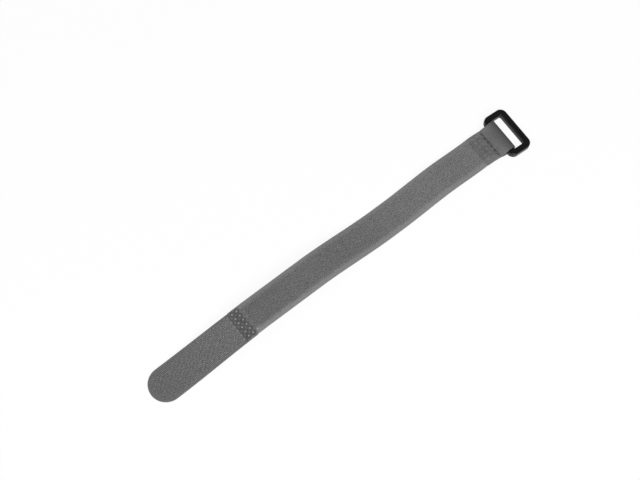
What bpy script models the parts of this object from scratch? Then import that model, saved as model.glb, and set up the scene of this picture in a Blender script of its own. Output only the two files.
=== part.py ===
"""Hook and loop cable tie.

A strap of napped loop tape is folded round the inner bar of a moulded ring and welded back on itself. A
tail of hook tape with a rounded end is welded under its other end. The tie lies on its back in gentle
waves, hooks and loops up: X runs along the strap to the ring, Y across it, and the ground is Z = 0.
"""

import math

import bmesh
import bpy
import numpy as np

# Tapes, in metres
tape_width = 0.020
tape_thickness = 0.0014
tape_edge_radius = 0.0002
strap_length = 0.2522  # from the rounded tip to the outside of the fold
hook_length = 0.0600  # hooks in view, from the tip to the cut end of the loop tape
tip_spread = 0.00035  # the cutter that rounds the tip presses each side out by this much
tip_spread_run = 0.012

# Welds: a horn melts both tapes flat where they overlap, and its pins leave rows of round pits
lap_length = 0.0070
weld_thickness = 0.00075  # one melted tape
weld_gap = 0.0002
press_ramp = 0.0003
pit_columns = 4
pit_rows = 6
pit_pitch = 0.00305
pit_diameter = 0.0012
pit_depth = 0.0003
pit_margin = 0.00015
fold_run = 0.0106  # from the outside of the fold to the last column of pits
weld_tail = 0.0081  # how far the folded tail runs back under that column
weld_lip = 0.0009  # melted tape past that column

# Ring
ring_side_clearance = 0.0007
ring_side_bar = 0.0037
ring_outer_bar = 0.0039
ring_inner_bar = 0.0030
ring_opening = 0.0074  # from bar to bar, along the strap
ring_thickness = 0.0040
ring_bar_recess = 0.0012  # how far the ring's ends stand out beyond the inner bar
ring_bar_thickness = 0.0030  # the inner bar is moulded thinner, so that the fold lies low on it
ring_bar_neck = 0.0006  # where the inner bar grows to the ring's full section
ring_corner_radius = 0.0040
ring_slot_radius = 0.0010
ring_edge_radius = 0.0009
ring_offset = 0.00135  # the fold is welded a little askew, so the ring sits beside the strap's middle
ring_skew = math.radians(1.4)  # and is turned this much

# Fold round the inner bar
bar_clearance = 0.0003
flank_radius = 0.0024  # bend where the two layers part from the weld

# How the strap lies: places along it where the loop tape's back is level, with its height there
tip_rise = 0.005
crest_height = 0.0067
crest_start = 0.0755
crest_end = 0.1105
trough_start = 0.1640
trough_end = 0.1710
second_crest = 0.2050
second_crest_height = 0.0029
weld_height = 0.0014  # at the start of the weld beside the ring
weld_slope = 0.12

# Mesh steps
wave_step = 0.005
fold_steps = 16
line_step = 0.00025
fold_line_steps = 80
tip_steps = 28
corner_segments = 6
tape_edge_segments = 2
ring_edge_segments = 4

bar_corner = math.hypot(ring_inner_bar / 2 - ring_edge_radius, ring_bar_thickness / 2 - ring_edge_radius)
fold_radius = bar_corner + ring_edge_radius + bar_clearance
bar_x = strap_length - fold_radius - tape_thickness
bar_z = fold_radius + tape_thickness
ring_reach = ring_inner_bar / 2 + ring_opening + ring_outer_bar
ring_slot_width = tape_width + 2 * ring_side_clearance

last_pits = strap_length - fold_run
tail_end = last_pits - weld_tail
weld_end = last_pits + weld_lip
seam_middle = hook_length + lap_length / 2
hook_end = hook_length + lap_length
lap_step = weld_thickness + weld_gap
weld_end_height = weld_height + weld_slope * (weld_end - tail_end)


def ring_droop():
    """The angle at which the ring's outer bar comes down to the ground."""
    along = ring_reach - ring_edge_radius
    up = ring_thickness / 2 - ring_edge_radius
    drop = bar_z - ring_edge_radius
    return math.asin(drop / math.hypot(along, up)) - math.atan2(up, along)


def ring_end():
    """How far the ring's foremost corner reaches from the tip."""
    corner_x = (ring_reach - ring_corner_radius) * math.cos(droop)
    corner_y = ring_slot_width / 2 + ring_side_bar - ring_corner_radius
    rounding = ring_corner_radius + (ring_thickness / 2 - ring_edge_radius) * math.sin(droop)
    return bar_x + corner_x * math.cos(ring_skew) + corner_y * math.sin(ring_skew) + rounding


droop = ring_droop()
middle_x = ring_end() / 2
middle_y = -(ring_reach - ring_inner_bar / 2 - ring_bar_recess) / 2 * math.sin(ring_skew)


def clear_scene():
    for thing in list(bpy.data.objects):
        bpy.data.objects.remove(thing, do_unlink=True)


def make_material(name, colour, roughness):
    material = bpy.data.materials.new(name)
    material.use_nodes = True
    shader = material.node_tree.nodes["Principled BSDF"]
    shader.inputs["Base Color"].default_value = (*colour, 1.0)
    shader.inputs["Roughness"].default_value = roughness
    shader.inputs["Metallic"].default_value = 0.0
    return material


def smooth_step(t):
    t = np.clip(t, 0.0, 1.0)
    return t * t * (3 - 2 * t)


# The line of the strap


def rest_height(x):
    """Height of the loop tape's back at x, measured from the tip."""
    points = [
        (0.0, lap_step),
        (tip_rise, lap_step),
        (crest_start, crest_height),
        (crest_end, crest_height),
        (trough_start, 0.0),
        (trough_end, 0.0),
        (second_crest, second_crest_height),
    ]
    for (x0, z0), (x1, z1) in zip(points, points[1:]):
        if x <= x1:
            return z0 + (z1 - z0) * float(smooth_step((x - x0) / (x1 - x0)))
    if x < tail_end:
        span = tail_end - second_crest
        t = (x - second_crest) / span
        level = second_crest_height + (weld_height - second_crest_height) * float(smooth_step(t))
        return level + weld_slope * span * (t**3 - t**2)
    return weld_height + weld_slope * (x - tail_end)


def rest_line(start, end, drop=0.0):
    """Points of the strap's wave between two places along it."""
    steps = max(2, math.ceil((end - start) / line_step))
    return [(x, rest_height(x) - drop) for x in np.linspace(start, end, steps + 1)]


def arc(centre, radius, start, end, steps):
    turns = np.linspace(start, end, steps + 1)
    return [(centre[0] + radius * math.cos(a), centre[1] + radius * math.sin(a)) for a in turns]


def bend(corner, heading, new_heading, radius, steps=10):
    """A left-hand bend that rounds the corner between two straight runs."""
    back = radius * math.tan((new_heading - heading) / 2)
    start = (corner[0] - back * math.cos(heading), corner[1] - back * math.sin(heading))
    centre = (start[0] - radius * math.sin(heading), start[1] + radius * math.cos(heading))
    return arc(centre, radius, heading - math.pi / 2, new_heading - math.pi / 2, steps)


def tangent(point, side):
    """Heading of the straight flank from a point to the fold, above the bar or below it."""
    dx, dz = bar_x - point[0], bar_z - point[1]
    return math.atan2(dz, dx) + side * math.asin(fold_radius / math.hypot(dx, dz))


def loop_line():
    """The loop tape's back: from its cut end, along the wave, round the bar and back under the weld."""
    heading = math.atan(weld_slope)
    upper = (weld_end, weld_end_height)
    lower = (weld_end + weld_gap * math.sin(heading), weld_end_height - weld_gap * math.cos(heading))
    over, under = tangent(upper, 1), tangent(lower, -1)
    rise = bend(upper, heading, over, flank_radius)
    fold = arc((bar_x, bar_z), fold_radius, over + math.pi / 2, under - math.pi / 2, fold_line_steps)
    fall = bend(lower, under + math.pi, heading + math.pi, flank_radius)
    to_weld = [p for p in rest_line(hook_length, weld_end) if p[0] < rise[0][0] - line_step / 2]
    run = fall[-1][0] - tail_end
    end = (tail_end, fall[-1][1] - weld_slope * run)
    return to_weld + rise + fold + fall + [end]


def hook_line():
    """The hook tape's back, one melted tape below the loop tape's."""
    return rest_line(0.0, hook_end, lap_step)


class Line:
    """A tape's back seen from the side, measured by its own length."""

    def __init__(self, points):
        self.points = np.array(points)
        steps = np.hypot(*np.diff(self.points, axis=0).T)
        self.along = np.concatenate([[0.0], np.cumsum(steps)])
        self.length = float(self.along[-1])
        slopes = np.gradient(self.points, self.along, axis=0)
        self.headings = slopes / np.hypot(*slopes.T)[:, None]

    def at(self, s):
        """The point there and its unit normal on the side of the hooks and loops."""
        x, z = (float(np.interp(s, self.along, self.points[:, k])) for k in (0, 1))
        u, w = (float(np.interp(s, self.along, self.headings[:, k])) for k in (0, 1))
        size = math.hypot(u, w)
        return (x, z), (-w / size, u / size)

    def place(self, x, folded=False):
        """How far along the line it passes x, on its way out or on its way back."""
        turn = int(np.argmax(self.points[:, 0]))
        if folded:
            return float(np.interp(-x, -self.points[turn:, 0], self.along[turn:]))
        return float(np.interp(x, self.points[: turn + 1, 0], self.along[: turn + 1]))


def askew(x, y):
    """Where a point of the straight strap lies in plan, once its fold is drawn to one side."""
    share = float(smooth_step((x - tail_end) / (bar_x - tail_end)))
    turned = x + y * share * math.tan(ring_skew)
    return turned - middle_x, y + ring_offset * (1 - share) - middle_y


# Tapes


def cut(bm, faces, point, normal):
    parts = set(faces)
    for face in faces:
        parts.update(face.edges)
        parts.update(face.verts)
    bmesh.ops.bisect_plane(bm, geom=list(parts), dist=1e-7, plane_co=point, plane_no=normal)


def flat_strip(length):
    bm = bmesh.new()
    bmesh.ops.create_cube(bm, size=1.0)
    bmesh.ops.translate(bm, verts=bm.verts, vec=(0.5, 0.0, 0.5))
    bmesh.ops.scale(bm, verts=bm.verts, vec=(length, tape_width, tape_thickness))
    return bm


def round_edges(bm, radius, segments):
    sharp = [e for e in bm.edges if e.calc_face_angle(0.0) > math.radians(60)]
    bmesh.ops.bevel(
        bm, geom=sharp, offset=radius, offset_type="OFFSET", segments=segments, profile=0.5, affect="EDGES"
    )


def flat_plate(name, outlines, thickness):
    """A plate cut to its outlines, with its faces as far above the ground plane as below it."""
    curve = bpy.data.curves.new(name, "CURVE")
    curve.dimensions = "2D"
    curve.fill_mode = "BOTH"
    curve.extrude = thickness / 2
    for outline in outlines:
        spline = curve.splines.new("POLY")
        spline.points.add(len(outline) - 1)
        for point, (x, y) in zip(spline.points, outline):
            point.co = (x, y, 0.0, 1.0)
        spline.use_cyclic_u = True
    plan = bpy.data.objects.new(name, curve)
    bpy.context.scene.collection.objects.link(plan)
    seen = plan.evaluated_get(bpy.context.evaluated_depsgraph_get())
    mesh = bpy.data.meshes.new_from_object(seen)
    bm = bmesh.new()
    bm.from_mesh(mesh)
    bpy.data.objects.remove(plan, do_unlink=True)
    bmesh.ops.remove_doubles(bm, verts=bm.verts, dist=1e-6)
    bmesh.ops.recalc_face_normals(bm, faces=bm.faces)
    return bm


def cell_edges(centres):
    half = pit_diameter / 2 + pit_margin
    return [c + side * half for c in centres for side in (-1, 1)]


def cut_cells(bm, columns, top):
    """Cuts one face of the strip into square cells, one round each pit."""
    rows = [(i - (pit_rows - 1) / 2) * pit_pitch for i in range(pit_rows)]
    low, high = min(cell_edges(columns)), max(cell_edges(columns))
    bm.normal_update()
    for y in cell_edges(rows):
        side = [
            f
            for f in bm.faces
            if (f.normal.z > 0.9 if top else f.normal.z < -0.9)
            and low < f.calc_center_median().x < high
        ]
        cut(bm, side, (0, y, 0), (0, 1, 0))
    bm.normal_update()
    cells = []
    for column in columns:
        for row in rows:
            near = [
                f
                for f in bm.faces
                if (f.normal.z > 0.9 if top else f.normal.z < -0.9)
                and abs(f.calc_center_median().x - column) < pit_margin
                and abs(f.calc_center_median().y - row) < pit_margin
            ]
            cells.append(near[0])
    return cells


def round_inset(bm, cell):
    """Insets a square cell as an eight-sided ring, and returns the face inside it."""
    bmesh.ops.subdivide_edges(bm, edges=cell.edges, cuts=1)
    middle = cell.calc_center_median()
    bmesh.ops.inset_individual(bm, faces=[cell], thickness=pit_margin)
    for vert in cell.verts:
        spoke = vert.co - middle
        vert.co = middle + spoke * (pit_diameter / 2 / spoke.length)
    return cell


def sink_pit(bm, cell):
    round_inset(bm, cell)
    bmesh.ops.inset_individual(bm, faces=[cell], thickness=pit_depth / 2)
    for vert in cell.verts:
        vert.co.z -= pit_depth


def lay(bm, line):
    """Bends the flat strip along its line."""
    for vert in bm.verts:
        (x, z), (nx, nz) = line.at(vert.co.x)
        h = vert.co.z
        vert.co = (*askew(x + nx * h, vert.co.y), z + nz * h)


def tape_thickness_at(s, pressed):
    """The strip's thickness at s, where each pressed stretch is melted flat."""
    share = 1.0
    for start, end in pressed:
        outside = max(start - s, s - end, 0.0)
        share = min(share, min(outside / press_ramp, 1.0))
    return weld_thickness + (tape_thickness - weld_thickness) * share


def press(bm, pressed):
    for vert in bm.verts:
        vert.co.z *= tape_thickness_at(vert.co.x, pressed) / tape_thickness


def cut_stations(bm, stations, columns):
    """Cuts the strip across at each station and at the sides of each column of pits."""
    half = pit_diameter / 2 + pit_margin
    clear = [s for s in stations if all(abs(s - c) > half for c in columns)]
    for s in sorted(set(clear + cell_edges(columns))):
        cut(bm, list(bm.faces), (s, 0, 0), (1, 0, 0))


def finish_object(name, bm, material, collection):
    bmesh.ops.recalc_face_normals(bm, faces=bm.faces)
    mesh = bpy.data.meshes.new(name)
    bm.to_mesh(mesh)
    bm.free()
    mesh.materials.append(material)
    mesh.set_sharp_from_angle(angle=math.radians(35))
    thing = bpy.data.objects.new(name, mesh)
    collection.objects.link(thing)
    return thing


def weld_columns(centre):
    return [centre + (i - (pit_columns - 1) / 2) * pit_pitch for i in range(pit_columns)]


ring_columns = weld_columns(last_pits - (pit_columns - 1) / 2 * pit_pitch)
seam_columns = weld_columns(seam_middle)


def join_spot(bm, upper, lower):
    """Replaces two facing spots by the wall of melted tape between their rims."""
    rim = list(upper.verts)
    facing = [min(lower.verts, key=lambda v: (v.co - u.co).length) for u in rim]
    bmesh.ops.delete(bm, geom=[upper, lower], context="FACES_ONLY")
    for i, vert in enumerate(rim):
        bm.faces.new((rim[i - 1], vert, facing[i], facing[i - 1]))


def make_loop_strap(collection):
    """Loop tape with its tail folded round the bar and spot welded to its own back."""
    line = Line(loop_line())
    bm = flat_strip(line.length)
    round_edges(bm, tape_edge_radius, tape_edge_segments)
    seam = [line.place(x) for x in seam_columns if x > hook_length]
    out = [line.place(x) for x in ring_columns]
    back = [line.place(x, folded=True) for x in ring_columns if x > tail_end]
    pressed = [
        (0.0, line.place(hook_end)),
        (line.place(tail_end), line.place(weld_end)),
        (line.place(weld_end, folded=True), line.length),
    ]
    wave = np.arange(wave_step, line.place(second_crest), wave_step)
    flats = [line.place(x) for x in (trough_start, trough_end)]
    fold = np.linspace(line.place(weld_end), line.place(weld_end, folded=True), fold_steps + 1)
    ramps = [s for a, b in pressed for s in (a - press_ramp, a, b, b + press_ramp)]
    inside = [s for s in ramps if tape_edge_radius < s < line.length - tape_edge_radius]
    cut_stations(bm, [*wave, *flats, *fold, *inside], seam + out + back)
    top_cells = cut_cells(bm, seam, top=True) + cut_cells(bm, out, top=True)
    welded = [s for x, s in zip(ring_columns, out) if x > tail_end]
    under_cells = cut_cells(bm, welded, top=False)
    folded_cells = cut_cells(bm, back, top=False)
    press(bm, pressed)
    for cell in top_cells:
        sink_pit(bm, cell)
    spots = [(round_inset(bm, a), round_inset(bm, b)) for a, b in zip(under_cells, folded_cells)]
    lay(bm, line)
    for upper, lower in spots:
        join_spot(bm, upper, lower)
    material = make_material("loop_tape", (0.150, 0.150, 0.152), 0.95)
    return finish_object("loop_strap", bm, material, collection)


def tip_outline():
    """Plan of the hook tape: straight sides, a square cut end and a round tip, spread a little."""
    half = tape_width / 2
    radius = half + tip_spread
    tip = arc((radius, 0.0), radius, math.pi / 2, 3 * math.pi / 2, tip_steps)
    spread = [
        (radius + tip_spread_run * t, half + tip_spread * (1 - float(smooth_step(t))))
        for t in (1.0, 0.75, 0.5, 0.25)
    ]
    other_side = [(x, -y) for x, y in reversed(spread)]
    return [(hook_end, half), *spread, *tip, *other_side, (hook_end, -half)]


def make_hook_tail(collection):
    """Hook tape, melted flat where the loop tape is welded on top of it."""
    line = Line(hook_line())
    bm = flat_plate("hook_plan", [tip_outline()], tape_thickness)
    bmesh.ops.dissolve_limit(bm, angle_limit=0.001, verts=bm.verts, edges=bm.edges)
    bmesh.ops.translate(bm, verts=bm.verts, vec=(0, 0, tape_thickness / 2))
    round_edges(bm, tape_edge_radius, tape_edge_segments)
    column = [x for x in seam_columns if x < hook_length]
    pressed = [(hook_length - press_ramp / 2, hook_end)]
    ramp = [pressed[0][0] - press_ramp, pressed[0][0]]
    wave = np.arange(tip_rise, hook_length - wave_step, wave_step)
    cut_stations(bm, [*wave, *ramp], column)
    cells = cut_cells(bm, column, top=True)
    press(bm, pressed)
    for cell in cells:
        sink_pit(bm, cell)
    lay(bm, line)
    material = make_material("hook_tape", (0.138, 0.138, 0.140), 0.7)
    return finish_object("hook_tail", bm, material, collection)


# Ring


def rounded_rectangle(x0, x1, half_width, radius):
    """Corner arcs of a rectangle, one after another."""
    corners = [(x1, half_width, 0), (x0, half_width, 1), (x0, -half_width, 2), (x1, -half_width, 3)]
    points = []
    for x, y, quarter in corners:
        centre = (x - math.copysign(radius, x - (x0 + x1) / 2), y - math.copysign(radius, y))
        start = quarter * math.pi / 2
        points += arc(centre, radius, start, start + math.pi / 2, corner_segments)
    return points


def thin_inner_bar(bm):
    """Brings the inner bar down to its own section between the two side bars."""
    full = ring_slot_width / 2
    thin = full - ring_bar_neck
    inside = ring_inner_bar / 2
    moulded = ring_inner_bar + ring_bar_recess
    for y in (-full, -thin, thin, full):
        cut(bm, list(bm.faces), (0, y, 0), (0, 1, 0))
    for vert in bm.verts:
        if vert.co.x < ring_reach / 2:
            share = float(np.clip((full - abs(vert.co.y)) / ring_bar_neck, 0.0, 1.0))
            vert.co.z *= 1 - share * (1 - ring_bar_thickness / ring_thickness)
            vert.co.x += share * (inside - vert.co.x) * ring_bar_recess / moulded


def make_ring(collection):
    """Moulded ring, made round its inner bar's axis and laid down to the ground."""
    inside = ring_inner_bar / 2
    outside_half = ring_slot_width / 2 + ring_side_bar
    outlines = [
        rounded_rectangle(-inside - ring_bar_recess, ring_reach, outside_half, ring_corner_radius),
        rounded_rectangle(inside, ring_reach - ring_outer_bar, ring_slot_width / 2, ring_slot_radius),
    ]
    bm = flat_plate("ring_plan", outlines, ring_thickness)
    round_edges(bm, ring_edge_radius, ring_edge_segments)
    thin_inner_bar(bm)
    material = make_material("ring_plastic", (0.010, 0.010, 0.010), 0.4)
    ring = finish_object("buckle_ring", bm, material, collection)
    ring.location = (bar_x - middle_x, -middle_y, bar_z)
    ring.rotation_euler = (0.0, droop, -ring_skew)
    return ring


clear_scene()
tie = bpy.data.collections.new("hook_and_loop_cable_tie")
bpy.context.scene.collection.children.link(tie)
make_loop_strap(tie)
make_hook_tail(tie)
make_ring(tie)
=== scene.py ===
import math

import bpy
import numpy as np
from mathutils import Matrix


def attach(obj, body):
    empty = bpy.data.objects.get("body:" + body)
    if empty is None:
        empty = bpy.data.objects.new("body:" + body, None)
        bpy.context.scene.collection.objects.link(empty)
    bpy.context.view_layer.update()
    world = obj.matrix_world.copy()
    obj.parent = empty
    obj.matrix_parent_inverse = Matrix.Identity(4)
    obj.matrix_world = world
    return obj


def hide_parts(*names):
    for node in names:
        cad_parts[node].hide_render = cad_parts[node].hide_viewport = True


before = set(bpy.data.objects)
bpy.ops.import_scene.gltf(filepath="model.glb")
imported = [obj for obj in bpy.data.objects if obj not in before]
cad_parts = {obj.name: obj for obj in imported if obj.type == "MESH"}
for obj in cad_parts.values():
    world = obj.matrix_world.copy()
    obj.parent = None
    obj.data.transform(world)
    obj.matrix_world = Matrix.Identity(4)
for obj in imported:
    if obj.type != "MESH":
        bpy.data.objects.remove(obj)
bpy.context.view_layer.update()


# Loop tape: a woven nylon strip, 20 mm wide, brushed into a nap between two plain selvedges. It lies in low
# waves. One end is folded round the ring's inner bar and spot welded to its own back, and the other end is
# cut square and welded on top of the hook tape. A hot horn melts both welds flat.
tape_width = 0.020
strap_length = 0.2522
hook_length = 0.0600
lap_length = 0.0070
hook_end = hook_length + lap_length
weld_thickness = 0.00075
weld_gap = 0.0002
lap_step = weld_thickness + weld_gap
pit_pitch = 0.00305
pit_depth = 0.0003
fold_radius = 0.0020485
bar_x = 0.2487515
bar_z = 0.0034485
last_pits = strap_length - 0.0106
tail_end = last_pits - 0.0081
weld_end = last_pits + 0.0009
weld_height = 0.0014
weld_slope = 0.12
weld_end_height = weld_height + weld_slope * (weld_end - tail_end)
flank_radius = 0.0024
first_crest_height = 0.0067
second_crest = 0.2050
second_crest_height = 0.0029
ring_offset = 0.00135
ring_skew = math.radians(1.4)
middle_x = 0.13093572
middle_y = -0.00012338
line_step = 0.00025


def smooth_step(t):
    """A smooth rise from 0 to 1 as t does the same."""
    t = np.clip(t, 0.0, 1.0)
    return t * t * (3 - 2 * t)


def rest_height(x):
    """How high the strap's back lies over the ground, x from the hook tape's tip."""
    points = [
        (0.0, lap_step),
        (0.005, lap_step),
        (0.0755, first_crest_height),
        (0.1105, first_crest_height),
        (0.1640, 0.0),
        (0.1710, 0.0),
        (second_crest, second_crest_height),
    ]
    for (x0, z0), (x1, z1) in zip(points, points[1:]):
        if x <= x1:
            return z0 + (z1 - z0) * float(smooth_step((x - x0) / (x1 - x0)))
    if x < tail_end:
        span = tail_end - second_crest
        t = (x - second_crest) / span
        level = second_crest_height + (weld_height - second_crest_height) * float(smooth_step(t))
        return level + weld_slope * span * (t**3 - t**2)
    return weld_height + weld_slope * (x - tail_end)


def rest_line(start, end, drop=0.0):
    """Points along that back from start to end, or as far below it as drop says."""
    steps = max(2, math.ceil((end - start) / line_step))
    return [(x, rest_height(x) - drop) for x in np.linspace(start, end, steps + 1)]


def arc(centre, radius, start, end, steps):
    """Points on a part of a circle."""
    turns = np.linspace(start, end, steps + 1)
    return [(centre[0] + radius * math.cos(a), centre[1] + radius * math.sin(a)) for a in turns]


def bend(corner, heading, new_heading, radius, steps=10):
    """An arc that rounds the corner between one heading and the next."""
    back = radius * math.tan((new_heading - heading) / 2)
    start = (corner[0] - back * math.cos(heading), corner[1] - back * math.sin(heading))
    centre = (start[0] - radius * math.sin(heading), start[1] + radius * math.cos(heading))
    return arc(centre, radius, heading - math.pi / 2, new_heading - math.pi / 2, steps)


def tangent(point, side):
    """The heading of a straight line from the point that just touches the fold."""
    dx = bar_x - point[0]
    dz = bar_z - point[1]
    return math.atan2(dz, dx) + side * math.asin(fold_radius / math.hypot(dx, dz))


def loop_line():
    """The loop tape's back, from its cut end over the waves, round the ring and back to the tail's end."""
    heading = math.atan(weld_slope)
    upper = (weld_end, weld_end_height)
    lower = (weld_end + weld_gap * math.sin(heading), weld_end_height - weld_gap * math.cos(heading))
    over = tangent(upper, 1)
    under = tangent(lower, -1)
    rise = bend(upper, heading, over, flank_radius)
    fold = arc((bar_x, bar_z), fold_radius, over + math.pi / 2, under - math.pi / 2, 80)
    fall = bend(lower, under + math.pi, heading + math.pi, flank_radius)
    to_weld = [p for p in rest_line(hook_length, weld_end) if p[0] < rise[0][0] - line_step / 2]
    end = (tail_end, fall[-1][1] - weld_slope * (fall[-1][0] - tail_end))
    return to_weld + rise + fold + fall + [end]


class Line:
    """A tape's back seen from the side, measured by its own length."""

    def __init__(self, points):
        self.points = np.array(points)
        steps = np.hypot(*np.diff(self.points, axis=0).T)
        self.along = np.concatenate([[0.0], np.cumsum(steps)])
        self.length = float(self.along[-1])
        slopes = np.gradient(self.points, self.along, axis=0)
        self.headings = slopes / np.hypot(*slopes.T)[:, None]

    def at(self, s, h):
        """Where points lie that are s along the tape and h over its back."""
        inside = np.clip(s, 0.0, self.length)
        x, z = (np.interp(inside, self.along, self.points[:, k]) for k in (0, 1))
        u, w = (np.interp(inside, self.along, self.headings[:, k]) for k in (0, 1))
        size = np.hypot(u, w)
        past = s - inside
        return x + (past * u - h * w) / size, z + (past * w + h * u) / size

    def place(self, x, folded=False):
        """How far along the line it passes x, on its way out or on its way back."""
        turn = int(np.argmax(self.points[:, 0]))
        if folded:
            return float(np.interp(-x, -self.points[turn:, 0], self.along[turn:]))
        return float(np.interp(x, self.points[: turn + 1, 0], self.along[: turn + 1]))


def get_points(piece):
    flat = np.empty(len(piece.data.vertices) * 3)
    piece.data.vertices.foreach_get("co", flat)
    return flat.reshape(-1, 3)


def set_points(piece, points):
    piece.data.vertices.foreach_set("co", points.ravel())
    piece.data.update()


def lay(piece, line):
    """Bends a flat piece to the way the tape lies, with the weld at the ring a little askew."""
    s, y, h = get_points(piece).T
    x, z = line.at(s, h)
    share = smooth_step((x - tail_end) / (bar_x - tail_end))
    turned = x + y * share * math.tan(ring_skew) - middle_x
    set_points(piece, np.stack([turned, y + ring_offset * (1 - share) - middle_y, z], axis=1))


def stations(length, fine, step, fine_step):
    """Places along a tape where it is cut across, closer together where it is welded."""
    places = [0.0]
    while places[-1] < length:
        near = any(start - step < places[-1] < end + step for start, end in fine)
        places.append(places[-1] + (fine_step if near else step))
    return np.array(places) * (length / places[-1])


def tape_strip(name, along, across):
    """A flat strip, one unit thick, with its rows and columns at the places given."""
    bpy.ops.object.select_all(action="DESELECT")
    bpy.ops.mesh.primitive_grid_add(x_subdivisions=len(along) - 1, y_subdivisions=len(across) - 1, size=1)
    strip = bpy.context.object
    strip.name = name
    bpy.ops.object.mode_set(mode="EDIT")
    bpy.ops.mesh.select_all(action="SELECT")
    bpy.ops.mesh.extrude_region_move(TRANSFORM_OT_translate={"value": (0, 0, 1)})
    bpy.ops.mesh.select_all(action="SELECT")
    bpy.ops.mesh.normals_make_consistent(inside=False)
    bpy.ops.object.mode_set(mode="OBJECT")
    points = get_points(strip)
    column = np.rint((points[:, 0] + 0.5) * (len(along) - 1)).astype(int)
    row = np.rint((points[:, 1] + 0.5) * (len(across) - 1)).astype(int)
    set_points(strip, np.stack([along[column], across[row], points[:, 2]], axis=1))
    return strip


def map_cloth(piece, points):
    """A UV map of the flat cloth, in tenths of a metre, for what is woven into it."""
    corners = np.empty(len(piece.data.loops), dtype=int)
    piece.data.loops.foreach_get("vertex_index", corners)
    piece.data.uv_layers.remove(piece.data.uv_layers[0])
    cloth = piece.data.uv_layers.new(name="cloth")
    cloth.uv.foreach_set("vector", (points[corners, :2] * 10).astype(np.float32).ravel())


def paint(piece, name, values):
    """Keeps one number for each point of the piece, which its finish reads."""
    layer = piece.data.attributes.new(name, "FLOAT", "POINT")
    layer.data.foreach_set("value", np.asarray(values, dtype=np.float32))


def near_spots(s, y, columns, radius, soft):
    """1 inside the round pits of a weld and 0 outside them."""
    rows = [(i - 2.5) * pit_pitch for i in range(6)]
    nearest = np.full(len(s), 1.0)
    for column in columns:
        for row in rows:
            nearest = np.minimum(nearest, np.hypot(s - column, y - row))
    return smooth_step((radius - nearest) / soft + 0.5)


def rounded(y, radius=0.0002):
    """How much lower the edge of a tape is than its middle, where its two long edges are rounded."""
    in_from_edge = np.clip(tape_width / 2 - np.abs(y), 0.0, radius)
    return radius - np.sqrt(radius**2 - (radius - in_from_edge) ** 2)


ground_thickness = 0.0013
press_ramp = 0.0005
ring_press_ramp = 0.0018
fold_ramp = 0.001
fold_wear = 0.75
nap_edge = 0.0072
nap_fade = 0.0034
nap_rise = 0.0001
curl_depth = 0.00042
curl_start = 0.0066
ripple_height = 0.00003
ripple_length = 0.0063
ripple_width = 0.0047
ripple_slant = 300
loop_path = Line(loop_line())
weld_start = loop_path.place(tail_end)
weld_stop = loop_path.place(weld_end)
tail_start = loop_path.place(weld_end, folded=True)
seam_stop = loop_path.place(hook_end)
ring_columns = [loop_path.place(last_pits - i * pit_pitch) for i in range(4)]
seam_middle = hook_length + lap_length / 2
seam_columns = [loop_path.place(seam_middle + (i - 1.5) * pit_pitch) for i in range(4)][1:]


def pressed(s):
    """1 where the horn has melted the loop tape flat."""
    seam = 1 - smooth_step((s - seam_stop) / press_ramp)
    into_weld = smooth_step((s - weld_start) / ring_press_ramp + 1)
    past_weld = smooth_step((s - weld_stop) / press_ramp)
    tail = smooth_step((s - tail_start) / press_ramp + 1)
    return np.maximum(np.maximum(seam, into_weld * (1 - past_weld)), tail)


def on_fold(s):
    """1 on the fold round the ring, past the weld."""
    return smooth_step((s - weld_stop) / fold_ramp)


def nap_band(y):
    """1 between the selvedges, where the loop tape is brushed."""
    return 1 - smooth_step((np.abs(y) - nap_edge) / nap_fade + 0.5)


def napped(s, y):
    """1 where the nap stands: not on the selvedges or the welds, and thinly on the fold."""
    return nap_band(y) * (1 - pressed(s)) * (1 - fold_wear * on_fold(s))


def loop_top(s, y):
    """How high the loop face stands over the back: its selvedges curl down, and its nap is uneven."""
    thickness = ground_thickness + (weld_thickness - ground_thickness) * pressed(s)
    curl = curl_depth * smooth_step((np.abs(y) - curl_start) / (tape_width / 2 - curl_start)) ** 1.5
    curl = curl * (1 - pressed(s)) * (1 - on_fold(s))
    waves_across = np.sin(y * 2 * math.pi / ripple_width + s * ripple_slant)
    ripple = ripple_height * np.sin(s * 2 * math.pi / ripple_length) * waves_across
    return thickness - curl + (nap_rise + ripple) * napped(s, y)


spot_radius = 0.0005
spot_soft = 0.0003
back_spot_radius = 0.0004
# Painted shadow: the last pits before the fold and a soft line at the weld's end are painted dark.
pit_shadow_radius = 0.0006
pit_shadow_soft = 0.0004
weld_end_shadow_width = 0.0006
weld_end_shadow_share = 0.45
# How much fainter the painted pit highlights are at the ring.
ring_pit_highlight_fade = 0.62
scorch_radius = 0.0017
scorch_soft = 0.0016
darker_weld_ramp = 0.004
lighter_run = 0.160
row_step = 0.0004
weld_row_step = 0.00019
rim_width = 0.0004
rim = np.array([0.0, 0.00006, 0.0002])
inner = np.linspace(-tape_width / 2 + rim_width, tape_width / 2 - rim_width, 67)
across = np.concatenate([rim - tape_width / 2, inner, tape_width / 2 - rim[::-1]])
fine = [(0.0, seam_stop), (weld_start, weld_stop)]
rows = stations(loop_path.length, fine, row_step, weld_row_step)
loop_tape = tape_strip("loop_tape", rows, across)
flat = get_points(loop_tape)
map_cloth(loop_tape, flat)
s, y, side = flat.T
spots = near_spots(s, y, seam_columns + ring_columns, spot_radius, spot_soft)
top = loop_top(s, y) - rounded(y) - pit_depth * spots
tail_columns = [loop_path.place(last_pits - i * pit_pitch, folded=True) for i in range(4)]
seam_back = near_spots(s, y, seam_columns, back_spot_radius, spot_soft)
ring_back = near_spots(s, y, ring_columns + tail_columns, back_spot_radius, spot_soft)
bottom = rounded(y) - seam_back * weld_gap - ring_back * weld_gap / 2
paint(loop_tape, "nap", nap_band(y) * side)
fold_middle = loop_path.place(bar_x)
at_ring = smooth_step((s - weld_start) / darker_weld_ramp + 1)
paint(loop_tape, "melt", pressed(s))
paint(loop_tape, "at_ring", at_ring)
paint(loop_tape, "fold", on_fold(s))
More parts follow.
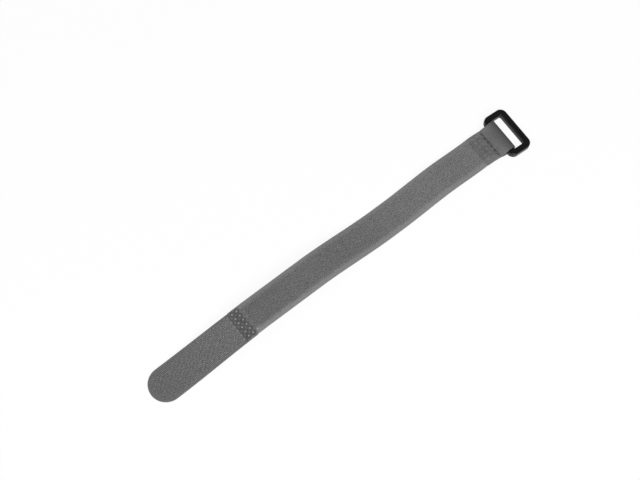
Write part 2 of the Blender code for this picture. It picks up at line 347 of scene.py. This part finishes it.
# Painted shade: the fold is painted darker where it turns down over the ring's bar, away from the light, and
# lighter again where it turns back.
turned_down = smooth_step((s - weld_stop - 0.003) / (fold_middle - weld_stop - 0.001))
turned_back = smooth_step((s - fold_middle - 0.002) / (tail_start - fold_middle - 0.002))
paint(loop_tape, "turn", turned_down * (1 - turned_back))
# Painted highlight: the weld pits are painted light for the glint of the glazed nylon in them, and fainter at
# the ring.
paint(loop_tape, "pit_highlight", spots * side * (1 - ring_pit_highlight_fade * at_ring))
# Painted shadow in the last column of pits and along the weld's end, where the tape slopes up to the fold.
pit_shadows = near_spots(s, y, ring_columns[:1], pit_shadow_radius, pit_shadow_soft)
weld_end_shadow = np.exp(-(((s - weld_stop) / weld_end_shadow_width + 1) ** 2)) * weld_end_shadow_share
paint(loop_tape, "pit_shadow", np.maximum(pit_shadows, weld_end_shadow) * side)
scorched_columns = [seam_columns[0] - pit_pitch] + seam_columns[:2]
paint(loop_tape, "scorched", near_spots(s, y, scorched_columns, scorch_radius, scorch_soft))
set_points(loop_tape, np.stack([s, y, np.where(side > 0.5, top, bottom)], axis=1))
lay(loop_tape, loop_path)
bpy.ops.object.shade_smooth_by_angle(angle=math.radians(50))


class Number:
    """A socket that gives a number, for sums with Python's own signs."""

    def __init__(self, finish, socket):
        self.finish = finish
        self.socket = socket

    def math(self, operation, *others):
        values = {i: value for i, value in enumerate([self, *others])}
        return self.finish.number("ShaderNodeMath", {"operation": operation}, values)

    def __add__(self, other):
        return self.math("ADD", other)

    def __sub__(self, other):
        return self.math("SUBTRACT", other)

    def __rsub__(self, other):
        return (self * -1) + other

    def __mul__(self, other):
        return self.math("MULTIPLY", other)

    __radd__ = __add__
    __rmul__ = __mul__


class Finish:
    """A material whose nodes are added one after another."""

    def __init__(self, name, roughness):
        self.material = bpy.data.materials.new(name)
        self.material.use_nodes = True
        self.tree = self.material.node_tree
        self.shader = self.tree.nodes["Principled BSDF"]
        self.shader.inputs["Roughness"].default_value = roughness

    def node(self, kind, settings, values):
        """Adds a node, with its settings first and then what goes into its sockets."""
        made = self.tree.nodes.new(kind)
        for name, value in settings.items():
            setattr(made, name, value)
        for name, value in values.items():
            self.plug(made.inputs[name], value)
        return made

    def plug(self, socket, value):
        if isinstance(value, Number):
            value = value.socket
        if isinstance(value, bpy.types.NodeSocket):
            self.tree.links.new(value, socket)
        else:
            socket.default_value = value

    def number(self, kind, settings, values, output=0):
        return Number(self, self.node(kind, settings, values).outputs[output])

    def attribute(self, name):
        return self.number("ShaderNodeAttribute", {"attribute_name": name}, {}, "Fac")

    def cloth(self):
        """How far along the cloth a point is and how far from its middle, in metres."""
        uv = self.node("ShaderNodeUVMap", {"uv_map": "cloth"}, {}).outputs[0]
        parts = self.node("ShaderNodeSeparateXYZ", {}, {0: uv})
        return Number(self, parts.outputs[0]) * 0.1, Number(self, parts.outputs[1]) * 0.1

    def ribs(self, place, pitch):
        """Waves from -1 to 1, one for each thread of the weave."""
        return (place * (2 * math.pi / pitch)).math("SINE")

    def noise(self, scale, detail=2.0):
        """Noise from 0 to 1 in the object's own metres."""
        place = self.node("ShaderNodeTexCoord", {}, {}).outputs["Object"]
        return self.number("ShaderNodeTexNoise", {}, {"Vector": place, "Scale": scale, "Detail": detail}, 0)

    def mix(self, share, first, second):
        made = self.node("ShaderNodeMix", {"data_type": "RGBA"}, {0: share, 6: first, 7: second})
        return made.outputs[2]

    def step(self, value, start, end):
        """0 before start and 1 after end."""
        values = {"Value": value, "From Min": start, "From Max": end}
        return self.number("ShaderNodeMapRange", {"interpolation_type": "SMOOTHSTEP"}, values)

    def bump(self, height, distance, strength=1.0):
        made = self.node("ShaderNodeBump", {}, {"Height": height, "Distance": distance, "Strength": strength})
        self.tree.links.new(made.outputs[0], self.shader.inputs["Normal"])


def grey(level):
    return (level, level, level * 1.01, 1.0)


weft_pitch = 0.00063
warp_pitch = 0.00042
weave_depth = 0.00003
felt_depth = 0.0003
loop_finish = Finish("napped_nylon", 0.92)
along, over = loop_finish.cloth()
nap = loop_finish.attribute("nap")
melt = loop_finish.attribute("melt")
pit_highlight = loop_finish.attribute("pit_highlight")
pit_shadow = loop_finish.attribute("pit_shadow")
fold = loop_finish.attribute("fold")
felt = loop_finish.noise(1500, 3.0)
patches = loop_finish.noise(260, 2.0)
weft = loop_finish.ribs(along, weft_pitch)
warp = loop_finish.ribs(over, warp_pitch)
at_ring = loop_finish.attribute("at_ring")
fold_shade = loop_finish.attribute("turn")
lighter_end = along * (1 / lighter_run)
cloth_shade = loop_finish.step(felt * 0.65 + patches * 0.35, 0.33, 0.67)
dark_nap = loop_finish.mix(cloth_shade, grey(0.138), grey(0.174))
light_nap = loop_finish.mix(cloth_shade, grey(0.190), grey(0.234))
napped_colour = loop_finish.mix(lighter_end, dark_nap, light_nap)
plain_colour = loop_finish.mix(weft * 0.25 + 0.5, grey(0.184), grey(0.234))
colour = loop_finish.mix(nap, plain_colour, napped_colour)
scorched = loop_finish.step(loop_finish.attribute("scorched") + (felt - 0.5) * 0.9, 0.15, 0.85)
seam_colour = loop_finish.mix(cloth_shade, grey(0.115), grey(0.170))
scorched_colour = loop_finish.mix(cloth_shade, grey(0.055), grey(0.100))
seam_colour = loop_finish.mix(scorched, seam_colour, scorched_colour)
weld_colour = loop_finish.mix(cloth_shade, grey(0.085), grey(0.155))
weld_colour = loop_finish.mix(nap * 0.4 + 0.6, plain_colour, weld_colour)
melted_colour = loop_finish.mix(at_ring, seam_colour, weld_colour)
fold_colour = loop_finish.mix(cloth_shade, grey(0.110), grey(0.145))
fold_colour = loop_finish.mix(nap * 0.3 + 0.7, plain_colour, fold_colour)
# Painted shade on the fold's turned-down side.
fold_colour = loop_finish.mix(fold_shade, fold_colour, grey(0.075))
colour = loop_finish.mix(fold, colour, fold_colour)
colour = loop_finish.mix(melt, colour, melted_colour)
# Painted highlight: the weld pits are made lighter, as glints.
colour = loop_finish.mix(pit_highlight * 0.9, colour, grey(0.330))
# Painted shadow in the last pits and at the weld's end.
colour = loop_finish.mix(pit_shadow, colour, grey(0.045))
loop_finish.plug(loop_finish.shader.inputs["Base Color"], colour)
weave = (weft + warp * 0.5) * (1 - nap) * (1 - melt * 0.7)
loop_finish.bump(weave * weave_depth + (felt - 0.5) * nap * felt_depth, 1.0)
loop_tape.data.materials.append(loop_finish.material)
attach(loop_tape, "strap")
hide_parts("loop_strap")


# Nap: the loop tape's pile, fine nylon threads brushed up into small loops that lean every way. They stand
# in the ground cloth between the selvedges, thin out at its edges, and are melted away at the welds.
nap_pitch = 0.00040
nap_thread = 0.000038
nap_loop_radius = 0.00034
nap_foot = 0.00008
nap_half_width = 0.0083
nap_leans = (0.75, 1.35)
nap_sizes = (0.6, 1.05)
nap_thinning = (0.05, 0.8)
nap_grain_depth = 0.00002
nap_jitter = 0.5
chance = np.random.default_rng(7)


def pile_loop(name):
    """One loop of thread, its two feet in the cloth."""
    bpy.ops.object.select_all(action="DESELECT")
    bpy.ops.mesh.primitive_torus_add(
        major_segments=9, minor_segments=3, major_radius=nap_loop_radius, minor_radius=nap_thread
    )
    loop = bpy.context.object
    loop.name = name
    bpy.ops.object.mode_set(mode="EDIT")
    bpy.ops.mesh.select_all(action="SELECT")
    bpy.ops.transform.rotate(value=math.pi / 2, orient_axis="X", center_override=(0, 0, 0))
    bpy.ops.mesh.bisect(plane_co=(0, 0, -nap_foot), plane_no=(0, 0, -1), clear_outer=True, use_fill=True)
    bpy.ops.mesh.select_all(action="SELECT")
    bpy.ops.mesh.normals_make_consistent(inside=False)
    bpy.ops.object.mode_set(mode="OBJECT")
    return loop


def repeat(piece, count, pitch, axis):
    """Copies the piece in a row."""
    offset = [0.0, 0.0, 0.0]
    offset[axis] = pitch
    rows = piece.modifiers.new("row", "ARRAY")
    rows.count = count
    rows.use_relative_offset = False
    rows.use_constant_offset = True
    rows.constant_offset_displace = offset
    bpy.ops.object.modifier_apply(modifier="row")


def keep_only(piece, kept):
    """Takes away the points that aren't kept, with their faces."""
    piece.data.vertices.foreach_set("select", ~kept)
    piece.data.polygons.foreach_set("select", np.zeros(len(piece.data.polygons), dtype=bool))
    piece.data.edges.foreach_set("select", np.zeros(len(piece.data.edges), dtype=bool))
    bpy.ops.object.mode_set(mode="EDIT")
    bpy.ops.mesh.select_mode(type="VERT")
    bpy.ops.mesh.delete(type="VERT")
    bpy.ops.object.mode_set(mode="OBJECT")


def scatter(points, turns, leans, sizes, centres):
    """Turns, leans and sizes each copy about its own foot, and moves it to its centre."""
    x, y, z = points[..., 0] * sizes, points[..., 1] * sizes, points[..., 2] * sizes
    lean_y = y * np.cos(leans) - z * np.sin(leans)
    lean_z = y * np.sin(leans) + z * np.cos(leans)
    turned_x = x * np.cos(turns) - lean_y * np.sin(turns)
    turned_y = x * np.sin(turns) + lean_y * np.cos(turns)
    return np.stack([turned_x, turned_y, lean_z], axis=-1) + centres


nap_finish = Finish("nylon_pile", 0.85)
tint = nap_finish.attribute("tint")
lighter_end = nap_finish.attribute("lighter_end")
shade = nap_finish.step(tint * 0.55 + nap_finish.noise(260, 2.0) * 0.45, 0.2, 0.8)
dark_pile = nap_finish.mix(shade, grey(0.145), grey(0.183))
light_pile = nap_finish.mix(shade, grey(0.191), grey(0.227))
pile_colour = nap_finish.mix(lighter_end, dark_pile, light_pile)
nap_finish.plug(nap_finish.shader.inputs["Base Color"], pile_colour)
nap_finish.bump(nap_finish.noise(9000, 1.0), nap_grain_depth)

nap_starts = np.linspace(seam_stop, weld_start, 4)
for i, (start, end) in enumerate(zip(nap_starts, nap_starts[1:])):
    pile = pile_loop(f"nap_{i + 1}")
    size = len(pile.data.vertices)
    across_count = int(2 * nap_half_width / nap_pitch)
    along_count = int((end - start) / nap_pitch)
    repeat(pile, across_count, nap_pitch, 1)
    repeat(pile, along_count, nap_pitch, 0)
    count = across_count * along_count
    points = get_points(pile).reshape(count, size, 3)
    column = np.repeat(np.arange(along_count), across_count)
    row = np.tile(np.arange(across_count), along_count)
    feet = np.stack([column, row], axis=1) * nap_pitch
    local = points - np.concatenate([feet, np.zeros((count, 1))], axis=1)[:, None, :]
    jitter = chance.uniform(-nap_jitter, nap_jitter, (count, 2)) * nap_pitch
    centre_s = start + nap_pitch / 2 + feet[:, 0] + jitter[:, 0]
    centre_y = feet[:, 1] - (across_count - 1) * nap_pitch / 2 + jitter[:, 1]
    centres = np.stack([centre_s, centre_y, loop_top(centre_s, centre_y)], axis=1)[:, None, :]
    turns = chance.uniform(0, 2 * math.pi, (count, 1))
    leans = chance.uniform(*nap_leans, (count, 1))
    sizes = chance.uniform(*nap_sizes, (count, 1))
    set_points(pile, scatter(local, turns, leans, sizes, centres).reshape(-1, 3))
    paint(pile, "tint", np.repeat(chance.uniform(0, 1, count), size))
    paint(pile, "lighter_end", np.repeat(centre_s / lighter_run, size))
    kept = napped(centre_s, centre_y) > chance.uniform(*nap_thinning, count)
    lay(pile, loop_path)
    keep_only(pile, np.repeat(kept, size))
    bpy.ops.object.shade_smooth()
    pile.data.materials.append(nap_finish.material)
    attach(pile, "strap")


# Hook tape: a woven nylon strip with plain selvedges and a round tip cut by a hot knife. Stiff threads stand
# in it between the selvedges, cut open into small hooks. Its inner end is melted flat under the loop tape.
hook_ground = 0.0010
tip_spread = 0.00035
tip_spread_run = 0.060
tip_radius = tape_width / 2 + tip_spread
tip_start = 0.03
hook_pit_depth = 0.0002
hook_weave_depth = 0.00004
hook_path = Line(rest_line(0.0, hook_end, lap_step))


def half_width(s):
    """Half the hook tape's width, with its round tip and the spread that the knife leaves."""
    round_tip = np.sqrt(np.clip(tip_radius**2 - (tip_radius - np.clip(s, 0.0, tip_radius)) ** 2, 0.0, None))
    spread = tape_width / 2 + tip_spread * (1 - smooth_step((s - tip_radius) / tip_spread_run))
    return np.where(s < tip_radius, round_tip, spread)


def hook_pressed(s):
    """1 where the horn has melted the hook tape flat."""
    return smooth_step((s - hook_length) / press_ramp + 1)


tip_turns = np.linspace(tip_start, math.pi / 2, 41)
tip_places = tip_radius * (1 - np.cos(tip_turns))
body_places = np.linspace(tip_radius, hook_end, 170)[1:]
hook_tape = tape_strip("hook_tape", np.concatenate([tip_places, body_places]), across)
flat = get_points(hook_tape)
s, y, side = flat.T
y = y * half_width(s) / (tape_width / 2)
map_cloth(hook_tape, np.stack([s, y, side], axis=1))
hook_columns = [hook_path.place(seam_middle - 1.5 * pit_pitch)]
spots = near_spots(s, y, hook_columns, spot_radius, spot_soft)
edge = rounded(flat[:, 1])
top = hook_ground + (weld_thickness - hook_ground) * hook_pressed(s) - edge - hook_pit_depth * spots
paint(hook_tape, "melt", hook_pressed(s))
# Painted highlight: the hook tape's weld pits are painted light too.
paint(hook_tape, "pit_highlight", spots * side)
set_points(hook_tape, np.stack([s, y, np.where(side > 0.5, top, edge)], axis=1))
lay(hook_tape, hook_path)
bpy.ops.object.shade_smooth_by_angle(angle=math.radians(50))

hook_finish = Finish("woven_nylon", 0.7)
along, over = hook_finish.cloth()
melt = hook_finish.attribute("melt")
pit_highlight = hook_finish.attribute("pit_highlight")
grain = hook_finish.noise(1800, 2.0)
weft = hook_finish.ribs(along, weft_pitch)
warp = hook_finish.ribs(over, warp_pitch)
melted_colour = hook_finish.mix(grain, grey(0.075), grey(0.150))
colour = hook_finish.mix(weft * 0.2 + grain * 0.6 + 0.2, grey(0.095), grey(0.175))
colour = hook_finish.mix(melt, colour, melted_colour)
# Painted highlight in the hook tape's weld pits.
colour = hook_finish.mix(pit_highlight * 0.9, colour, grey(0.300))
hook_finish.plug(hook_finish.shader.inputs["Base Color"], colour)
hook_finish.bump((weft + warp * 0.6) * (1 - melt * 0.7) * hook_weave_depth, 1.0)
hook_tape.data.materials.append(hook_finish.material)
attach(hook_tape, "strap")
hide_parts("hook_tail")


# Hooks: single stiff threads that stand in rows along the hook tape, each bent over into a hook. Every row
# hooks the other way from the next.
hook_pitch = 0.00063
hook_row_pitch = 0.00084
hook_thread = 0.00008
hook_stem = 0.00030
hook_bend = 0.00019
hook_root = 0.00004
hook_angle = math.radians(215)
hook_rows = 21
hook_jitter = 0.07
hook_turn = 0.35
hook_lean = 0.25
hook_sizes = (0.88, 1.08)
hook_grain_depth = 0.00001
slant_pitch = 0.00115
tip_tint = 0.28
seam_tint = 0.46
slant_tint = 0.24
tint_spread = 0.2
bare_edge = 0.0014
bare_tip = 0.0016
bare_seam = 0.0009

bpy.ops.object.select_all(action="DESELECT")
bpy.ops.mesh.primitive_circle_add(vertices=5, radius=hook_thread, fill_type="NGON")
hooks = bpy.context.object
hooks.name = "hooks"
bpy.ops.object.mode_set(mode="EDIT")
bpy.ops.mesh.select_all(action="SELECT")
bpy.ops.mesh.extrude_region_move(TRANSFORM_OT_translate={"value": (0, 0, hook_stem)})
bpy.ops.mesh.spin(steps=5, angle=hook_angle, center=(hook_bend, 0, hook_stem), axis=(0, -1, 0))
bpy.ops.mesh.select_all(action="SELECT")
bpy.ops.mesh.normals_make_consistent(inside=False)
bpy.ops.object.mode_set(mode="OBJECT")
size = len(hooks.data.vertices)
along_count = int(hook_length / hook_pitch)
repeat(hooks, hook_rows, hook_row_pitch, 1)
repeat(hooks, along_count, hook_pitch, 0)
count = hook_rows * along_count
points = get_points(hooks).reshape(count, size, 3)
column = np.repeat(np.arange(along_count), hook_rows)
row = np.tile(np.arange(hook_rows), along_count)
corners = np.stack([column * hook_pitch, row * hook_row_pitch, np.zeros(count)], axis=1)
local = points - corners[:, None, :]
jitter = chance.uniform(-hook_jitter, hook_jitter, (count, 2)) * hook_pitch
centre_s = (column + 0.5 * (row % 2) + 0.25) * hook_pitch + jitter[:, 0]
centre_y = (row - (hook_rows - 1) / 2) * hook_row_pitch + jitter[:, 1]
centres = np.stack([centre_s, centre_y, np.full(count, hook_ground - hook_root)], axis=1)[:, None, :]
turns = ((row % 2) * math.pi + chance.uniform(-hook_turn, hook_turn, count))[:, None]
leans = chance.uniform(-hook_lean, hook_lean, (count, 1))
sizes = chance.uniform(*hook_sizes, (count, 1))
set_points(hooks, scatter(local, turns, leans, sizes, centres).reshape(-1, 3))
slanted = np.sin((centre_s * 0.33 + centre_y * 0.94) * 2 * math.pi / slant_pitch)
tints = tip_tint + seam_tint * centre_s / hook_length + slant_tint * slanted
tints = tints + chance.uniform(-tint_spread, tint_spread, count)
paint(hooks, "tint", np.repeat(np.clip(tints, 0, 1), size))
in_band = np.abs(centre_y) < half_width(centre_s) - bare_edge
kept = in_band & (centre_s > bare_tip) & (centre_s < hook_length - bare_seam)
lay(hooks, hook_path)
keep_only(hooks, np.repeat(kept, size))
bpy.ops.object.shade_smooth()

thread_finish = Finish("hook_thread", 0.5)
tint = thread_finish.attribute("tint")
thread_colour = thread_finish.mix(tint, grey(0.208), grey(0.545))
thread_finish.plug(thread_finish.shader.inputs["Base Color"], thread_colour)
thread_finish.bump(thread_finish.noise(6000, 1.0), hook_grain_depth)
hooks.data.materials.append(thread_finish.material)
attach(hooks, "strap")


# Ring: one moulding of black nylon that hangs in the fold. It is made flat round the axis of its inner bar,
# which is moulded thinner and set back between the two ends, and is then laid down until its outer bar
# rests. The skin is satin, with a faint grain and a fine line where the two halves of the mould met.
ring_inner_bar = 0.0030
ring_opening = 0.0074
ring_outer_bar = 0.0039
ring_side_bar = 0.0037
ring_thickness = 0.0040
ring_slot_play = 0.0007
ring_slot_width = tape_width + 2 * ring_slot_play
ring_bar_recess = 0.0012
ring_bar_thickness = 0.0030
ring_bar_neck = 0.0006
ring_edge_radius = 0.0007
ring_corner_radius = 0.0040
ring_slot_radius = 0.0010
ring_droop = math.radians(7.032)
ring_grain_depth = 0.00001
parting_depth = 0.00003
parting_width = 0.00010


def rounded_plate(name, x0, x1, half_width, radius, thickness):
    """A flat plate with round corners, halfway through the ground plane."""
    bpy.ops.object.select_all(action="DESELECT")
    bpy.ops.mesh.primitive_plane_add(size=1, location=(0, 0, 0))
    plate = bpy.context.object
    plate.name = name
    place = [(x0 + x1) / 2, 0, -thickness / 2]
    points = get_points(plate) * [x1 - x0, 2 * half_width, 1] + place
    set_points(plate, points)
    bpy.ops.object.mode_set(mode="EDIT")
    bpy.ops.mesh.select_all(action="SELECT")
    bpy.ops.mesh.bevel(offset=radius, segments=14, profile=0.5, affect="VERTICES")
    bpy.ops.mesh.select_all(action="SELECT")
    bpy.ops.mesh.extrude_region_move(TRANSFORM_OT_translate={"value": (0, 0, thickness)})
    bpy.ops.mesh.select_all(action="SELECT")
    bpy.ops.mesh.normals_make_consistent(inside=False)
    bpy.ops.object.mode_set(mode="OBJECT")
    return plate


def rotated(a, b, angle):
    """Two of a point's coordinates, turned clockwise round the origin."""
    return a * math.cos(angle) + b * math.sin(angle), b * math.cos(angle) - a * math.sin(angle)


half_bar = ring_inner_bar / 2
half_slot = ring_slot_width / 2
ring_start = -half_bar - ring_bar_recess
ring_reach = half_bar + ring_opening + ring_outer_bar
slot = rounded_plate(
    "slot", half_bar, half_bar + ring_opening, half_slot, ring_slot_radius, 2 * ring_thickness
)
ring = rounded_plate(
    "ring", ring_start, ring_reach, half_slot + ring_side_bar, ring_corner_radius, ring_thickness
)
cutter = ring.modifiers.new("slot", "BOOLEAN")
cutter.operation = "DIFFERENCE"
cutter.object = slot
bpy.ops.object.modifier_apply(modifier="slot")
bpy.data.objects.remove(slot)
edges = ring.modifiers.new("edges", "BEVEL")
edges.width = ring_edge_radius
edges.segments = 6
edges.limit_method = "ANGLE"
edges.angle_limit = math.radians(60)
edges.use_clamp_overlap = False
bpy.ops.object.modifier_apply(modifier="edges")
bpy.ops.object.mode_set(mode="EDIT")
for y in (-half_slot, ring_bar_neck - half_slot, 0.0, half_slot - ring_bar_neck, half_slot):
    bpy.ops.mesh.select_all(action="SELECT")
    bpy.ops.mesh.bisect(plane_co=(0, y, 0), plane_no=(0, 1, 0))
bpy.ops.object.mode_set(mode="OBJECT")
x, y, z = get_points(ring).T
set_back = np.clip((half_slot - np.abs(y)) / ring_bar_neck, 0.0, 1.0) * (x < ring_reach / 2)
paint(ring, "height", z)
z = z * (1 - set_back * (1 - ring_bar_thickness / ring_thickness))
x = x + set_back * (half_bar - x) * ring_bar_recess / (ring_inner_bar + ring_bar_recess)
x, z = rotated(x, z, ring_droop)
x, y = rotated(x, y, ring_skew)
set_points(ring, np.stack([x + bar_x - middle_x, y - middle_y, z + bar_z], axis=1))
bpy.ops.object.shade_smooth_by_angle(angle=math.radians(30))
ring.modifiers.new("flat", "WEIGHTED_NORMAL")
bpy.ops.object.modifier_apply(modifier="flat")

ring_finish = Finish("moulded_nylon", 0.42)
cloud = ring_finish.noise(420, 3.0)
fine_grain = ring_finish.noise(4200, 2.0)
height = ring_finish.attribute("height")
parting = ring_finish.step(height.math("ABSOLUTE"), parting_width, parting_width / 5)
ring_colour = ring_finish.mix(cloud, grey(0.0025), grey(0.0050))
ring_finish.plug(ring_finish.shader.inputs["Base Color"], ring_colour)
ring_finish.plug(ring_finish.shader.inputs["Roughness"], cloud * 0.10 + fine_grain * 0.08 + 0.16)
ring_finish.shader.inputs["Specular IOR Level"].default_value = 0.3
ring_finish.bump(fine_grain * ring_grain_depth + parting * parting_depth, 1.0)
ring.data.materials.append(ring_finish.material)
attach(ring, "ring")
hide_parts("buckle_ring")


# Studio: a white sweep under an even sky and two soft lamps, a key in front and a weaker fill from the left.
# The camera sees the sweep almost white, and it still takes the tie's soft shadow. The camera stands 71
# degrees up, as it did for the photograph.
sweep_size = 6.0
sweep_gap = 0.00002
sweep_white = 0.92
glossy_white = 0.3
sky_light = 0.28
lamp_size = 0.8
picture_width = 640
focal_pixels = 1674.7
sensor_width = 36.0
camera_distance = 0.9464
bpy.ops.object.select_all(action="DESELECT")
bpy.ops.mesh.primitive_plane_add(size=sweep_size, location=(0, 0, -sweep_gap))
floor = bpy.context.object
floor.name = "floor"
floor_finish = Finish("white_paper", 0.9)
floor_finish.plug(floor_finish.shader.inputs["Base Color"], (0.95, 0.95, 0.95, 1.0))
floor_rays = floor_finish.node("ShaderNodeLightPath", {}, {})
by_camera = Number(floor_finish, floor_rays.outputs["Is Camera Ray"])
by_gloss = Number(floor_finish, floor_rays.outputs["Is Glossy Ray"])
white_share = (by_camera + by_gloss * glossy_white) * sweep_white
white = floor_finish.node("ShaderNodeEmission", {}, {"Color": (1, 1, 1, 1), "Strength": 1.0})
sweep = floor_finish.node(
    "ShaderNodeMixShader",
    {},
    {0: white_share, 1: floor_finish.shader.outputs[0], 2: white.outputs[0]},
)
output = floor_finish.tree.nodes["Material Output"]
floor_finish.tree.links.new(sweep.outputs[0], output.inputs["Surface"])
floor.data.materials.append(floor_finish.material)

world = bpy.data.worlds.new("studio")
bpy.context.scene.world = world
world.use_nodes = True
sky = world.node_tree
background = sky.nodes["Background"]
background.inputs["Color"].default_value = (1, 1, 1, 1)
sky_rays = sky.nodes.new("ShaderNodeLightPath")
level = sky.nodes.new("ShaderNodeMapRange")
level.inputs["To Min"].default_value = sky_light
level.inputs["To Max"].default_value = 1.0
sky.links.new(sky_rays.outputs["Is Camera Ray"], level.inputs["Value"])
sky.links.new(level.outputs[0], background.inputs["Strength"])


def softbox(name, place, power):
    """A square lamp that faces the tie."""
    lamp = bpy.data.lights.new(name, "AREA")
    lamp.size = lamp_size
    lamp.energy = power
    box = bpy.data.objects.new(name, lamp)
    bpy.context.scene.collection.objects.link(box)
    box.location = place
    box.rotation_euler = box.location.to_track_quat("Z", "Y").to_euler()


softbox("key", (-0.2, -0.98, 1.15), 19.6)
softbox("fill", (-0.95, 0.35, 1.0), 3.9)

azimuth = math.radians(-38.13)
elevation = math.radians(71.0)
away = (
    math.sin(azimuth) * math.cos(elevation),
    -math.cos(azimuth) * math.cos(elevation),
    math.sin(elevation),
)
aim = (-0.005432, 0.001478, 0.0)
optics = bpy.data.cameras.new("camera")
optics.sensor_width = sensor_width
optics.lens = focal_pixels / picture_width * sensor_width
optics.shift_x = -0.0168
optics.shift_y = 0.0348
optics.clip_start = 0.01
camera = bpy.data.objects.new("camera", optics)
bpy.context.scene.collection.objects.link(camera)
camera.location = [a + camera_distance * b for a, b in zip(aim, away)]
camera.rotation_euler = (math.pi / 2 - elevation, 0.0, azimuth)
bpy.context.scene.camera = camera
bpy.context.scene.view_settings.view_transform = "Standard"
